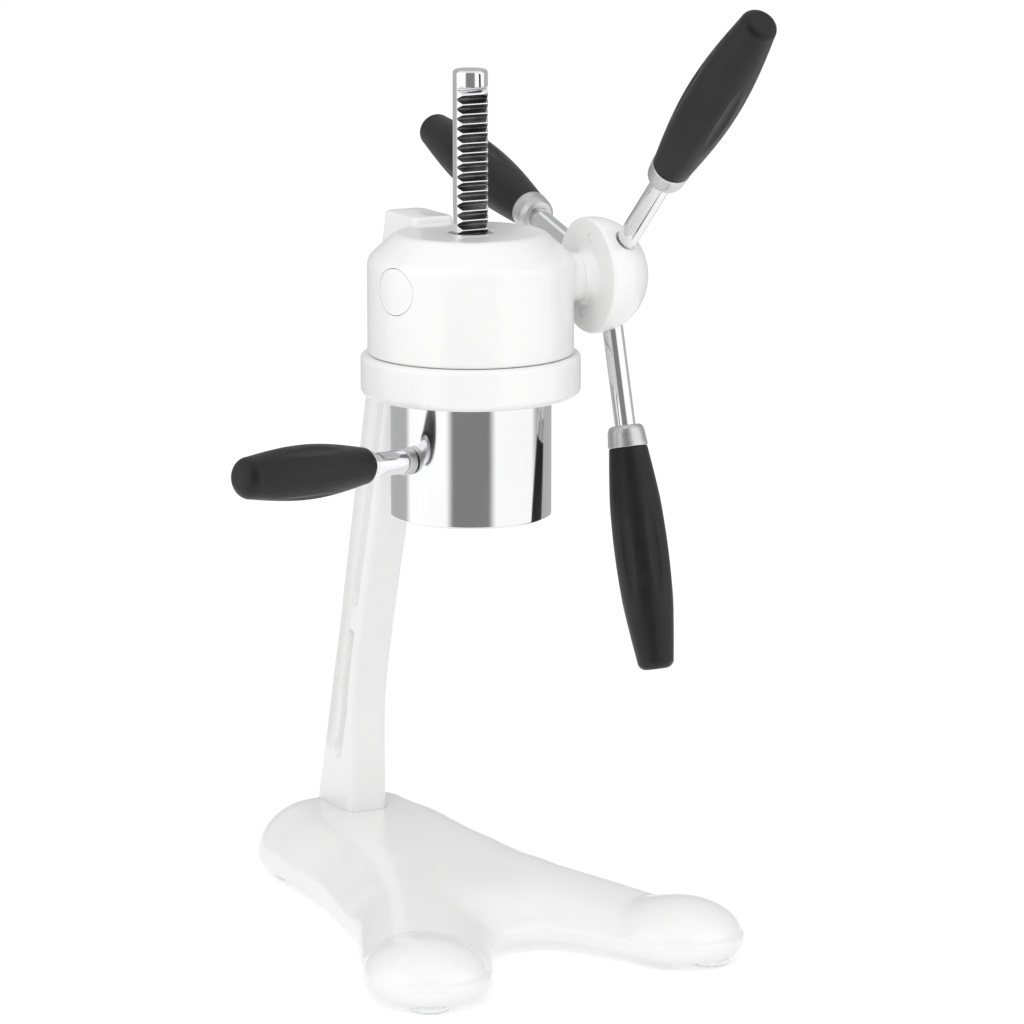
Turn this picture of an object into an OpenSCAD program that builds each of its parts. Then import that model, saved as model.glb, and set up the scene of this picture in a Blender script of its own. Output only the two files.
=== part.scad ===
// Hand-operated citrus press: a cast four-lobed base and leaning column carry a
// round head. A three-arm capstan turns a pinion that drives a toothed rack and
// its bell plunger down into a bayonet-locked steel cup.
// Millimetres. Z is up, the table is z = 0, and the rack and the cup share the
// Z axis. The column stands behind the cup (+Y), the front is -Y and the
// capstan is on the right (+X).

/* [Base] */
// Height of the base's flat top at the column
base_top_z = 42; // [38:0.5:46]
// Height of the level at which the base is widest
base_wide_z = 12; // [11:0.5:14]
// Height of the underside rim above the table
base_rim_z = 5; // [4:0.5:7]
// Height of the crest of each front lobe
lobe_top_z = 35; // [32:0.5:36]
// Radius of each foot pad
foot_r = 11; // [9:0.5:13]

/* [Column] */
// Width of the column, left to right
column_w = 25.8; // [22:0.2:27]
// Radius of the column's vertical edges
column_edge_r = 5; // [3:0.5:6]
// Depth of the side grooves
groove_depth = 4.5; // [2:0.5:5]

/* [Head] */
// Outer radius of the head
head_r = 59; // [58:0.5:60]
// Height of the head's flat top
head_top_z = 414.3; // [414:0.1:415]
// Radius of the flat top
head_flat_r = 40; // [38:0.5:41]
// Radius of the blank bearing cap on the left side
cap_r = 13.5; // [12:0.5:15]

/* [Collar] */
// Outer radius of the collar ring
collar_r = 63; // [62:0.5:64]
// Underside height of the collar ring
collar_low_z = 321; // [320:0.5:322]

/* [Cup] */
// Outer radius of the steel cup
cup_r = 46.2; // [46:0.05:46.3]
// Wall thickness of the steel cup
cup_wall = 1.8; // [1.2:0.1:2.2]
// Height of the cup's lower edge
cup_low_z = 251; // [249:0.5:252]
// Height of the strainer's crown
strainer_top_z = 271; // [266:0.5:272]
// Direction of the cup handle, anticlockwise from +X seen from above
cup_handle_az = 193; // [190:1:196]
// Upward tilt of the cup handle
cup_handle_tilt = 2.8; // [0:0.1:5]

/* [Rack and pinion] */
// Radius of the rack bar
rack_r = 10; // [9.9:0.05:10]
// Radius of the plunger
plunger_r = 39; // [36:0.5:39]
// Height of the rack's top when fully raised
rack_top_z = 507; // [500:1:515]
// Tooth module
gear_m = 1.75; // [1.75:0.05:1.75]
// Number of pinion teeth
pinion_teeth = 12; // [12:1:12]
// Height of the pinion shaft's axis
shaft_z = 386; // [386:1:386]
// Radius of the pinion shaft
shaft_r = 6.5; // [6:0.1:6.5]

/* [Capstan] */
// Sideways position of the arms' plane
arm_x = 80.3; // [79:0.1:82]
// Radius of the hub
hub_r = 33.6; // [32:0.2:35]
// Radius of each arm rod
arm_rod_r = 6; // [5:0.1:6.5]
// Angle of the first arm, from straight up towards the front
arm_angle = 45.6; // [30:0.2:60]
// Outward lean of the arms
arm_lean = 0.5; // [0:0.1:1.5]
// How much deeper the rear arm is screwed in
rear_arm_in = 5; // [0:0.5:6]
// Distance from the hub's axis to the start of a grip
grip_start = 100.4; // [98:0.2:103]
// Length of an arm grip
grip_len = 128.6; // [125:0.2:135]
// Largest radius of an arm grip
grip_r = 16; // [15:0.1:17]
// Depth of the lens-shaped flutes in the grips
flute_depth = 1.2; // [0.6:0.1:1.5]

/* [Hidden] */
$fn = 64;
white = [0.93, 0.93, 0.93];
steel = [0.78, 0.79, 0.80];
satin = [0.72, 0.72, 0.72];
black = [0.08, 0.08, 0.08];
bronze = [0.72, 0.52, 0.28];
clear = [0.80, 0.82, 0.83];

// The shaft's axis lies in front of the rack by the pinion's pitch radius.
pitch = PI * gear_m;
pitch_r = gear_m * pinion_teeth / 2;
rack_pitch_y = -4.25;
shaft_y = rack_pitch_y - pitch_r;
pa = 25;
head_z = 345;
slot_w = column_w + 0.4;
cup_in_r = cup_r - cup_wall;
foot_front = [90.8, -119.3];
foot_rear = [40, 153.9];

function arc(cx, cy, r, a, b, n) =
  [for (i = [0:n]) [cx + r * cos(a + (b - a) * i / n), cy + r * sin(a + (b - a) * i / n)]];

// ---- base: the plan is a smooth union of capsules, with the height read from
// the distance to the edge, so that the edges are rounded and the front lobes
// swell into domes.
function smin(a, b, k) = let(h = max(k - abs(a - b), 0) / k) min(a, b) - h * h * k / 4;
function smax(a, b, k) = -smin(-a, -b, k);
function cap2(p, a, b, ra, rb) =
  let(ab = b - a, ap = p - a, t = max(0, min(1, (ap * ab) / (ab * ab))))
  norm(ap - ab * t) - (ra + (rb - ra) * t);
lobe_c = [82.5, -101.5];
lobe_r = 36;
rear_c = [20.6, 161.3];
rear_r = 34.6;
function half_plan(p) =
  smin(cap2(p, [34, 0], lobe_c, 39.2, lobe_r),
       cap2(p, [16, 67], rear_c, 36, rear_r), 70);
function plan(p) = smin(smin(half_plan(p), half_plan([-p[0], p[1]]), 57),
  cap2(p, [0, 117], [0, 4], 51.6, 50.4), 24);
function dome(p) = let(d = norm([abs(p[0]), p[1]] - lobe_c - [0.5, 3.5]) / lobe_r)
  base_wide_z + (lobe_top_z - base_wide_z) * pow(max(0, 1 - d * d), 0.52);
function crown(y) = let(t = max(0, min(1, (y + 101.5) / 225)))
  22.5 + (base_top_z - 22.5) * sin(90 * t);
// a rounded flank rises to a soft ridge, inside which the top is a plateau
function top_at(p) = let(d = max(0, -plan(p)), e = 1 - min(1, d / 50), c = crown(p[1]),
    h = smin(base_wide_z + 1.155 * (c - base_wide_z) * sqrt(1 - e * e), c, 3))
  d <= 0 ? base_wide_z : smax(h, dome(p), 4);
base_c = [0, 8];
base_n = 112;
function reach(dir, lo, hi, i) = i == 0 ? (lo + hi) / 2 :
  let(m = (lo + hi) / 2) plan(base_c + dir * m) < 0 ? reach(dir, m, hi, i - 1) : reach(dir, lo, m, i - 1);
base_edge = [for (i = [0:base_n - 1]) let(a = 360 * i / base_n, d = [cos(a), sin(a)])
  base_c + d * reach(d, 20, 230, 18)];
base_in = [for (i = [0:base_n - 1]) let(t = base_edge[(i + 1) % base_n] - base_edge[(i + base_n - 1) % base_n])
  [-t[1], t[0]] / norm(t)];
under = [[5.1, base_rim_z], [2.5, base_rim_z + 1], [0.7, base_rim_z + 3.8]];
top_s = [1, 0.993, 0.975, 0.95, 0.915, 0.87, 0.81, 0.74, 0.65, 0.54, 0.42, 0.28, 0.14];
function ring_low(k) = [for (i = [0:base_n - 1]) let(q = base_edge[i] + base_in[i] * under[k][0]) [q[0], q[1], under[k][1]]];
function ring_top(s) = [for (i = [0:base_n - 1]) let(q = base_c + (base_edge[i] - base_c) * s)
  [q[0], q[1], s == 1 ? base_wide_z : top_at(q)]];
rings = [ring_low(0), ring_low(1), ring_low(2), for (s = top_s) ring_top(s)];
base_pts = [for (r = rings) for (q = r) q, [base_c[0], base_c[1], top_at(base_c)], [base_c[0], base_c[1], base_rim_z]];
nr = len(rings);
base_faces = [
  for (k = [0:nr - 2]) for (i = [0:base_n - 1]) let(j = (i + 1) % base_n, a = k * base_n)
    [a + i, a + base_n + i, a + base_n + j],
  for (k = [0:nr - 2]) for (i = [0:base_n - 1]) let(j = (i + 1) % base_n, a = k * base_n)
    [a + i, a + base_n + j, a + j],
  for (i = [0:base_n - 1]) let(j = (i + 1) % base_n, a = (nr - 1) * base_n) [a + i, nr * base_n, a + j],
  for (i = [0:base_n - 1]) let(j = (i + 1) % base_n) [i, j, nr * base_n + 1]];
foot_y = [145, 166];
column_foot_z = 28;

under_half = [[-1, 178], [17, 178], [24, 138], [31, 124], [33, 96], [42, 44], [55, -4], [74, -44], [86, -66], [92, -88],
  [78, -102], [66, -124], [56, -116], [52, -90], [44, -60], [22, -42], [-1, -40]];
module base() color(white) difference() {
  polyhedron(base_pts, base_faces, convexity = 6);
  // hollow underside, deeper below the middle
  translate([0, 0, -1]) linear_extrude(17) polygon(under_half);
  translate([0, 0, -1]) linear_extrude(17) polygon([for (q = under_half) [-q[0], q[1]]]);
  translate([0, 0, 4]) linear_extrude(23) polygon([[-16, 122], [-22, 100], [-28, 60], [-30, 10], [-20, -12],
    [20, -12], [30, 10], [28, 60], [22, 100], [16, 122]]);
  // seat of the column's foot
  translate([0, 0, column_foot_z]) linear_extrude(30) polygon([[-column_w / 2 - 0.1, 130.8],
    [column_w / 2 + 0.1, 130.8], [column_w / 2 + 0.1, 178.8], [-column_w / 2 - 0.1, 178.8]]);
  for (y = foot_y) translate([0, y, 10]) {
    cylinder(r = 3.3, h = 30);
    cylinder(r = 7.5, h = 8.9);
  }
  for (f = [foot_front, foot_rear]) for (s = [-1, 1])
    translate([s * f[0], f[1], 0]) cylinder(r = 3.05, h = 17);
}

module foot_pad(x, y) color(clear) translate([x, y, 0]) {
  rotate_extrude() polygon([[0, 0], [foot_r - 2.2, 0], [foot_r - 0.6, 0.7], [foot_r, 2],
    [foot_r - 0.5, 3.4], [foot_r - 2.4, base_rim_z - 0.3], [6.5, base_rim_z], [3, base_rim_z], [3, 16], [0, 16]]);
}
module foot_pad_front_left() foot_pad(-foot_front[0], foot_front[1]);
module foot_pad_front_right() foot_pad(foot_front[0], foot_front[1]);
module foot_pad_rear_left() foot_pad(-foot_rear[0], foot_rear[1]);
module foot_pad_rear_right() foot_pad(foot_rear[0], foot_rear[1]);

// ---- column: a sweep of rounded rectangles; each row is z, front y, rear y
col = [[column_foot_z, 131, 178.5], [44, 131, 177], [67, 131, 170.8], [92, 131, 164.6], [108, 130.2, 160.4],
  [127, 127, 155.4], [160, 118.6, 146.2], [190, 110.4, 138.6], [224, 100.4, 130.2],
  [256, 91.6, 122.3], [288, 82.8, 114.4], [320, 74, 106], [345.9, 66.8, 98.9],
  [346.4, 51.3, 98.9], [373.9, 51.3, 93.4], [374.4, 42.3, 93.3], [400, 42.3, 87.6], [417.2, 42.3, 83.6]];
function corner(x, y, a, r) = [for (i = [0:4]) [x + r * cos(a + 22.5 * i), y + r * sin(a + 22.5 * i)]];
function col_ring(c, r) = let(w = column_w / 2 - r)
  [for (q = concat(corner(w, c[2] - r, 0, r), corner(-w, c[2] - r, 90, r),
    corner(-w, c[1] + r, 180, r), corner(w, c[1] + r, 270, r))) [q[0], q[1], c[0]]];
col_pts = [for (c = col) for (q = col_ring(c, column_edge_r)) q];
cn = 20;
cl = len(col);
col_faces = [
  for (k = [0:cl - 2]) for (i = [0:cn - 1]) let(j = (i + 1) % cn, a = k * cn)
    [a + i, a + cn + i, a + cn + j],
  for (k = [0:cl - 2]) for (i = [0:cn - 1]) let(j = (i + 1) % cn, a = k * cn)
    [a + i, a + cn + j, a + j],
  [for (i = [0:cn - 1]) i],
  [for (i = [cn - 1:-1:0]) (cl - 1) * cn + i]];
head_bolt_z = [384, 404];

module slot_cut(s, y0, z0, y1, z1, r) hull() {
  translate([s * (column_w / 2 - groove_depth), y0, z0]) rotate([0, s * 90, 0]) cylinder(r = r, h = 10, $fn = 32);
  translate([s * (column_w / 2 - groove_depth), y1, z1]) rotate([0, s * 90, 0]) cylinder(r = r, h = 10, $fn = 32);
}
module column() color(white) difference() {
  polyhedron(col_pts, col_faces, convexity = 8);
  for (s = [-1, 1]) {
    slot_cut(s, 127.6, 181, 94.6, 300, 6.6);
    slot_cut(s, 152, 80.5, 132.2, 150.5, 6.6);
  }
  for (y = foot_y) translate([0, y, 20]) cylinder(r = 3, h = 34);
  for (z = head_bolt_z) {
    translate([0, 30, z]) rotate([-90, 0, 0]) cylinder(r = 3.25, h = 60);
    translate([0, 72, z]) rotate([-90, 0, 0]) cylinder(r = 5.4, h = 30);
  }
}
module column_bolts() color(steel) for (y = foot_y) translate([0, y, 0]) {
  translate([0, 0, 13]) cylinder(r = 5, h = 4.4);
  translate([0, 0, 17.4]) cylinder(r = 3, h = 34);
}
module column_washers() color(steel) for (y = foot_y) translate([0, y, 17.5]) difference() {
  cylinder(r = 6.5, h = 1.4);
  translate([0, 0, -1]) cylinder(r = 3.2, h = 4);
}

// ---- head
// wall top, rounded shoulder, cone and rounded edge of the flat top
shoulder = concat(arc(head_r - 10, 395.4, 10, 0, 43, 5),
  arc(head_flat_r, head_top_z - 7.6, 7.6, 46, 90, 4));
module head_outer() rotate_extrude($fn = 96) polygon(concat(
  [[0, head_z + 0.2], [head_r - 0.8, head_z + 0.2], [head_r, head_z + 1]], shoulder, [[0, head_top_z]]));
module along_x(x, y, z) translate([x, y, z]) rotate([0, 90, 0]) children();

module head_housing() color(white) difference() {
  union() {
    head_outer();
    // bearing boss of the capstan
    along_x(40, shaft_y, shaft_z) rotate_extrude() polygon([[0, 0], [14, 0], [14, 19.3], [0, 19.3]]);
  }
  // plunger chamber
  translate([0, 0, head_z - 1]) cylinder(r = 46, h = 25);
  // rack bore
  translate([0, 0, 365]) cylinder(r = rack_r + 0.06, h = 60);
  translate([0, 0, 400]) cylinder(r = 13, h = 20);
  // pinion space
  along_x(-12, shaft_y, shaft_z) cylinder(r = 13.5, h = 24);
  // bushing bores
  along_x(-50, shaft_y, shaft_z) cylinder(r = 11, h = 130);
  // seat of the bearing cap
  along_x(-70, shaft_y, shaft_z) cylinder(r = cap_r, h = 20);
  // seat of the column's tongue
  translate([-slot_w / 2, 51, head_z - 5]) cube([slot_w, 30, 90]);
  translate([-slot_w / 2, 42, 374]) cube([slot_w, 30, 60]);
  for (z = head_bolt_z) translate([0, 24, z]) rotate([-90, 0, 0]) cylinder(r = 3.05, h = 40);
  // collar screw holes
  for (a = [60:90:330]) rotate([0, 0, a]) translate([54.5, 0, 340]) cylinder(r = 2.55, h = 24);
  // brake bore
  translate([0, 0, 392]) rotate([0, 90, 50]) cylinder(r = 4, h = 70);
}
module head_bolts() color(steel) for (z = head_bolt_z) translate([0, 26, z]) rotate([-90, 0, 0]) difference() {
  union() { cylinder(r = 3, h = 45.8); translate([0, 0, 46]) cylinder(r = 5, h = 6); translate([0, 0, 45]) cylinder(r = 3, h = 2); }
  translate([0, 0, 49]) cylinder(r = 2.5, h = 4, $fn = 6);
}
module bearing_cap() color(white) intersection() {
  along_x(-70, shaft_y, shaft_z) cylinder(r = cap_r - 0.3, h = 20);
  rotate_extrude($fn = 96) polygon(concat([[0, 360], [head_r, 360]], shoulder, [[0, head_top_z]]));
}
module rack_guide_bush() color(bronze) translate([0, 0, 400]) difference() {
  cylinder(r = 12.95, h = 10);
  translate([0, 0, -1]) cylinder(r = rack_r + 0.06, h = 12);
}
module bush(x, l) color(bronze) along_x(x, shaft_y, shaft_z) difference() {
  cylinder(r = 10.95, h = l);
  translate([0, 0, -1]) cylinder(r = shaft_r + 0.05, h = l + 2);
}
module bushing_left() bush(-46, 34);
module bushing_right() bush(12, 47);

// ---- collar ring with the bayonet ledge
module collar_ring() color(white) difference() {
  rotate_extrude($fn = 96) polygon(concat([[46.6, collar_low_z], [46.6, 330], [50.6, 330], [50.6, 337], [46.6, 337],
    [46.6, 345], [collar_r - 3, 345]], arc(collar_r - 3, 342, 3, 67.5, 0, 3),
    arc(collar_r - 4.5, collar_low_z + 4.5, 4.5, 0, -90, 5)));
  for (a = [15:120:255]) rotate([0, 0, a]) translate([40, -8.2, collar_low_z - 1]) cube([10.6, 16.4, 10.5]);
  for (a = [60:90:330]) rotate([0, 0, a]) translate([54.5, 0, 0]) {
    translate([0, 0, 310]) cylinder(r = 2.75, h = 40);
    translate([0, 0, 310]) cylinder(r = 4.7, h = 16.2);
  }
}
module collar_screws() color(steel) for (a = [60:90:330]) rotate([0, 0, a]) translate([54.5, 0, 0]) difference() {
  union() {
    translate([0, 0, 321.6]) cylinder(r = 4.4, h = 4.6);
    translate([0, 0, 326]) cylinder(r = 2.5, h = 33);
  }
  translate([0, 0, 320]) cylinder(r = 2.2, h = 4, $fn = 6);
}

// ---- brake that holds the raised plunger
module brake_pad() color(bronze) translate([0, 0, 392]) rotate([0, 90, 50]) translate([0, 0, 10.35]) cylinder(r = 3.9, h = 7);
// a coil of n points round a helix of radius r, wire radius w, t turns and height h
function coil_pts(r, w, t, h, n) = [for (i = [0:n]) let(a = 360 * t * i / n, z = h * i / n)
  for (k = [0:5]) let(b = 60 * k) [(r + w * cos(b)) * cos(a), (r + w * cos(b)) * sin(a), z + w * sin(b)]];
module coil(r, w, t, h, n) polyhedron(coil_pts(r, w, t, h, n), concat(
  [for (i = [0:n - 1]) for (k = [0:5]) let(m = (k + 1) % 6) [6 * i + k, 6 * i + 6 + k, 6 * i + 6 + m]],
  [for (i = [0:n - 1]) for (k = [0:5]) let(m = (k + 1) % 6) [6 * i + k, 6 * i + 6 + m, 6 * i + m]],
  [[0, 1, 2, 3, 4, 5]], [[for (k = [5:-1:0]) 6 * n + k]]));
module brake_spring() color(steel) translate([0, 0, 392]) rotate([0, 90, 50]) translate([0, 0, 18.1]) coil(2.9, 0.55, 5, 10.9, 70);
module brake_screw() color(steel) translate([0, 0, 392]) rotate([0, 90, 50]) difference() {
  translate([0, 0, 29.7]) cylinder(r = 3.95, h = 20);
  translate([0, 0, 46]) cylinder(r = 2, h = 6, $fn = 6);
}

// ---- rack and plunger
groove_n0 = -2;
groove_n1 = 20;
mill_lo = 373;
mill_hi = 497.6;
tip_y = rack_pitch_y - gear_m;
root_y = rack_pitch_y + 1.95;
tip_hw = pitch / 4 + gear_m * tan(pa);
root_hw = pitch / 4 - 1.95 * tan(pa);
module rack() color(steel) difference() {
  rotate_extrude() polygon([[0, 356], [rack_r, 356], [rack_r, rack_top_z - 1.6], [rack_r - 1.6, rack_top_z], [0, rack_top_z]]);
  translate([-15, 0, 0]) rotate([90, 0, 90]) linear_extrude(30) polygon(concat([[-20, mill_lo], [tip_y, mill_lo]],
    [for (k = [groove_n0:groove_n1]) for (q = [[tip_y, -tip_hw], [root_y, -root_hw], [root_y, root_hw], [tip_y, tip_hw]])
      [q[0], shaft_z + k * pitch + q[1]]],
    [[tip_y, mill_hi], [-20, mill_hi]]));
  translate([0, 0, 350]) cylinder(r = 4, h = 26);
}
module plunger() color(steel) difference() {
  rotate_extrude($fn = 96) polygon(concat([[4.1, 358.2]],
    [for (i = [1:8]) [4.1 + (plunger_r - 8.6) * i / 8, 346 + 12 * sqrt(1 - pow((i + 0.02) / 8.02, 2)) + 0.2]],
    [[plunger_r - 3.9, 346], [plunger_r - 0.9, 346], [plunger_r, 347], [plunger_r, 360], [plunger_r - 2.5, 364],
      [plunger_r - 11, 366.3], [14, 367.2], [rack_r, 367.2], [rack_r, 362], [4.1, 362]]));
  translate([0, 0, 340]) cylinder(r = 4.1, h = 30);
  translate([0, 0, 356]) cylinder(r = rack_r, h = 20);
}
module plunger_bolt() color(steel) difference() {
  union() {
    translate([0, 0, 350.6]) cylinder(r = 6.5, h = 5.2);
    translate([0, 0, 355]) cylinder(r = 4, h = 19);
  }
  translate([0, 0, 349]) cylinder(r = 3, h = 4.4, $fn = 6);
}

// ---- pinion and shaft
base_circle = pitch_r * cos(pa);
tip_r = pitch_r + gear_m;
root_r = 8.3;
function inv(a) = tan(a) * 180 / PI - a;
function half_at(r) = 90 / pinion_teeth + inv(pa) - inv(acos(min(1, base_circle / r))) - 0.5;
function flank(s) = [for (i = [0:5]) let(r = base_circle + (tip_r - base_circle) * i / 5) [r, s * half_at(r)]];
module pinion_2d() polygon([for (t = [0:pinion_teeth - 1]) let(a0 = 360 * t / pinion_teeth)
  for (q = concat([[root_r, -half_at(base_circle) - 2.2]], flank(-1), [for (i = [5:-1:0]) flank(1)[i]],
    [[root_r, half_at(base_circle) + 2.2]])) [q[0] * cos(a0 + q[1]), q[0] * sin(a0 + q[1])]]);
module pinion_gear() color(steel) difference() {
  along_x(-11, shaft_y, shaft_z) rotate([0, 0, 90]) linear_extrude(22) pinion_2d();
  along_x(-12, shaft_y, shaft_z) cylinder(r = shaft_r, h = 24);
  translate([-9, shaft_y - 7.3, shaft_z - 2]) cube([18, 3, 4]);
}
module pinion_key() color(steel) translate([-9, shaft_y - 7.3, shaft_z - 2]) cube([18, 2.8, 4]);
module pinion_shaft() color(steel) difference() {
  along_x(-49.5, shaft_y, shaft_z) rotate_extrude() polygon([[0, 0], [shaft_r - 0.6, 0], [shaft_r, 0.6], [shaft_r, 1.6],
    [shaft_r - 1, 1.6], [shaft_r - 1, 3.1], [shaft_r, 3.1], [shaft_r, 142], [0, 142]]);
  translate([-9, shaft_y - 7.3, shaft_z - 2]) cube([18, 2.8, 4]);
}
module shaft_retaining_ring() color(steel) along_x(-47.8, shaft_y, shaft_z) difference() {
  cylinder(r = 9.2, h = 1.4);
  translate([0, 0, -1]) cylinder(r = shaft_r - 0.95, h = 4);
  translate([5, -1.6, -1]) cube([6, 3.2, 4]);
}

// ---- capstan hub, arms and grips
neck_x = 59.7;
hub_back = 66.5;
hub_c = 69.2;
plug_angles = [12, 192];
arm_names = [arm_angle, arm_angle + 120, arm_angle + 240];
module arm_frame(k) translate([arm_x, shaft_y, shaft_z]) rotate([arm_names[k], 0, 0]) rotate([0, arm_lean, 0]) children();
function arm_in(k) = k == 2 ? rear_arm_in : 0;
module hub() color(white) difference() {
  along_x(0, shaft_y, shaft_z) rotate_extrude($fn = 96) polygon(concat(
    [[0, neck_x], [13.4, neck_x], [13.6, neck_x + 2.2]], [for (i = [1:4]) [18.6 - 5 * cos(90 * i / 4), hub_back - 4.6 + 5 * sin(90 * i / 4)]],
    [[hub_r - 4.2, hub_back + 0.8], [hub_r - 1.6, hub_back + 1.7], [hub_r - 0.3, hub_back + 3.4]],
    [for (i = [0:11]) [hub_r * cos(90 * i / 12), hub_c + 1.2 + (hub_r - 1) * sin(90 * i / 12)]],
    [[0, hub_c + 0.2 + hub_r]]));
  along_x(55, shaft_y, shaft_z) cylinder(r = shaft_r, h = 38);
  for (a = plug_angles) translate([hub_back - 2, shaft_y, shaft_z]) rotate([a, 0, 0]) translate([0, 0, 23]) rotate([0, 90, 0])
    cylinder(r = 2.55, h = 9);
  for (k = [0:2]) {
    arm_frame(k) translate([0, 0, 8.5]) cylinder(r = arm_rod_r + 0.05, h = 40);
    arm_frame(k) translate([0, 0, 31]) cylinder(r = arm_rod_r + 1, h = 20);
  }
}
module hub_plugs() color(white) for (a = plug_angles) translate([hub_back + 0.5, shaft_y, shaft_z]) rotate([a, 0, 0])
  translate([0, 0, 23]) rotate([0, 90, 0]) cylinder(r = 2.5, h = 6);
module arm_rod(k) color(steel) arm_frame(k) rotate_extrude() let(g = grip_start - arm_in(k)) polygon([[0, 9], [arm_rod_r - 0.6, 9],
  [arm_rod_r, 9.6], [arm_rod_r, g], [4, g], [4, g + grip_len - 18], [3.4, g + grip_len - 17.4], [0, g + grip_len - 17.4]]);
module arm_rod_front() arm_rod(0);
module arm_rod_lower() arm_rod(1);
module arm_rod_rear() arm_rod(2);
module ferrule(k) color(satin) arm_frame(k) translate([0, 0, grip_start - arm_in(k)]) rotate_extrude() polygon([[arm_rod_r + 0.03, -12.4],
  [8, -12.6], [9.4, -11.9], [10.3, -10.4], [10.8, -8.2], [11.2, -4.4], [11.5, -1.8], [11.5, 0], [arm_rod_r + 0.03, 0]]);
module ferrule_front() ferrule(0);
module ferrule_lower() ferrule(1);
module ferrule_rear() ferrule(2);

// a grip of length l: r0 at its start, rm at its fullest (at fm of the length), r1 near its end
module grip_body(l, r0, rm, r1, fm, e0, e1) difference() {
  rotate_extrude() polygon(concat([[4.05, 0], [r0 - e0, 0]],
    [for (i = [1:3]) [r0 - e0 + e0 * sin(30 * i), e0 - e0 * cos(30 * i)]],
    [for (i = [1:6]) let(s = e0 + (fm * l - e0) * i / 6) [r0 + (rm - r0) * sin(90 * i / 6), s]],
    [for (i = [1:7]) let(s = fm * l + (l - e1 - fm * l) * i / 7) [r1 + (rm - r1) * cos(90 * i / 7), s]],
    [for (i = [1:5]) [r1 - e1 + e1 * cos(18 * i), l - e1 + e1 * sin(18 * i)]],
    [[0, l], [0, l - 17.2], [4.05, l - 17.2]]));
  for (i = [0:5]) rotate([0, 0, 30 + 60 * i]) translate([rm + 9 - flute_depth, 0, e0 + 4]) cylinder(r = 9, h = l - e1 - e0 - 8);
}
module grip(k) color(black) arm_frame(k) translate([0, 0, grip_start - arm_in(k)]) grip_body(grip_len, 11.2, grip_r, 10.6, 0.47, 1, 5);
module grip_front() grip(0);
module grip_lower() grip(1);
module grip_rear() grip(2);

// ---- cup
module handle_frame() rotate([0, 0, cup_handle_az]) translate([cup_r, 0, 287.6]) rotate([0, 90 - cup_handle_tilt, 0]) children();
module cup() color(steel) difference() {
  union() {
    rotate_extrude($fn = 96) polygon([[38, cup_low_z], [cup_r - 0.6, cup_low_z], [cup_r, cup_low_z + 0.6], [cup_r, 342.6],
      [cup_r - 0.4, 343], [cup_in_r + 0.4, 343], [cup_in_r, 342.6], [cup_in_r, cup_low_z + 2], [38, cup_low_z + 2]]);
    for (a = [90:120:330]) rotate([0, 0, a - 7.5]) rotate_extrude(angle = 15, $fn = 96)
      polygon([[cup_r - 0.4, 330.3], [50.2, 330.3], [50.2, 335.6], [cup_r - 0.4, 335.6]]);
  }
  handle_frame() translate([0, 0, -8]) cylinder(r = 4.1, h = 20);
}
module strainer() color(steel) difference() {
  rotate_extrude($fn = 96) polygon(concat([[cup_in_r - 0.3, cup_low_z + 2], [cup_in_r - 0.3, cup_low_z + 3.4]],
    [for (i = [0:9]) [36 * cos(10 * i) , cup_low_z + 3.4 + (strainer_top_z - cup_low_z - 3.4) * sin(10 * i)]],
    [[0, strainer_top_z], [0, strainer_top_z - 1.4]],
    [for (i = [9:-1:0]) [34.6 * cos(10 * i), cup_low_z + 2 + (strainer_top_z - cup_low_z - 3.4) * sin(10 * i)]]));
  for (ring = [[10, 6], [18, 11], [26, 16]]) for (i = [0:ring[1] - 1]) rotate([0, 0, 360 * i / ring[1]])
    translate([ring[0], 0, cup_low_z]) cylinder(r = 1.9, h = 26, $fn = 24);
}
module cup_handle_boss() color(steel) handle_frame() difference() {
  union() {
    translate([0, 0, 0.35]) rotate_extrude() polygon([[0, 0], [7.8, 0], [7.8, 5], [7.2, 5.6], [0, 5.6]]);
    translate([0, 0, -1.55]) cylinder(r = 4, h = 3);
  }
  translate([0, 0, 2]) cylinder(r = 3, h = 5);
}
module cup_handle_rod() color(steel) handle_frame() rotate_extrude() polygon([[0, 2.1], [2.95, 2.1], [2.95, 6], [7, 6],
  [7, 31.2], [4, 31.2], [4, 106], [3.4, 106.6], [0, 106.6]]);
module cup_handle_ring() color(steel) handle_frame() translate([0, 0, 29.3]) rotate_extrude() polygon([[7.03, 0], [7.7, 0], [8.3, 0.6], [8.3, 1.9], [7.03, 1.9]]);
module cup_grip() color(black) handle_frame() translate([0, 0, 31.3]) grip_body(93, 10.6, 15.5, 12, 0.5, 4, 8);

base();
foot_pad_front_left();
foot_pad_front_right();
foot_pad_rear_left();
foot_pad_rear_right();
column();
column_bolts();
column_washers();
head_housing();
head_bolts();
collar_ring();
collar_screws();
bearing_cap();
rack_guide_bush();
bushing_left();
bushing_right();
brake_pad();
brake_spring();
brake_screw();
rack();
plunger();
plunger_bolt();
pinion_shaft();
pinion_gear();
pinion_key();
shaft_retaining_ring();
hub();
hub_plugs();
arm_rod_front();
arm_rod_lower();
arm_rod_rear();
ferrule_front();
ferrule_lower();
ferrule_rear();
grip_front();
grip_lower();
grip_rear();
cup();
strainer();
cup_handle_boss();
cup_handle_rod();
cup_handle_ring();
cup_grip();
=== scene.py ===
import math

import bmesh
import bpy
import numpy as np
from mathutils import Matrix, Vector


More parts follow.
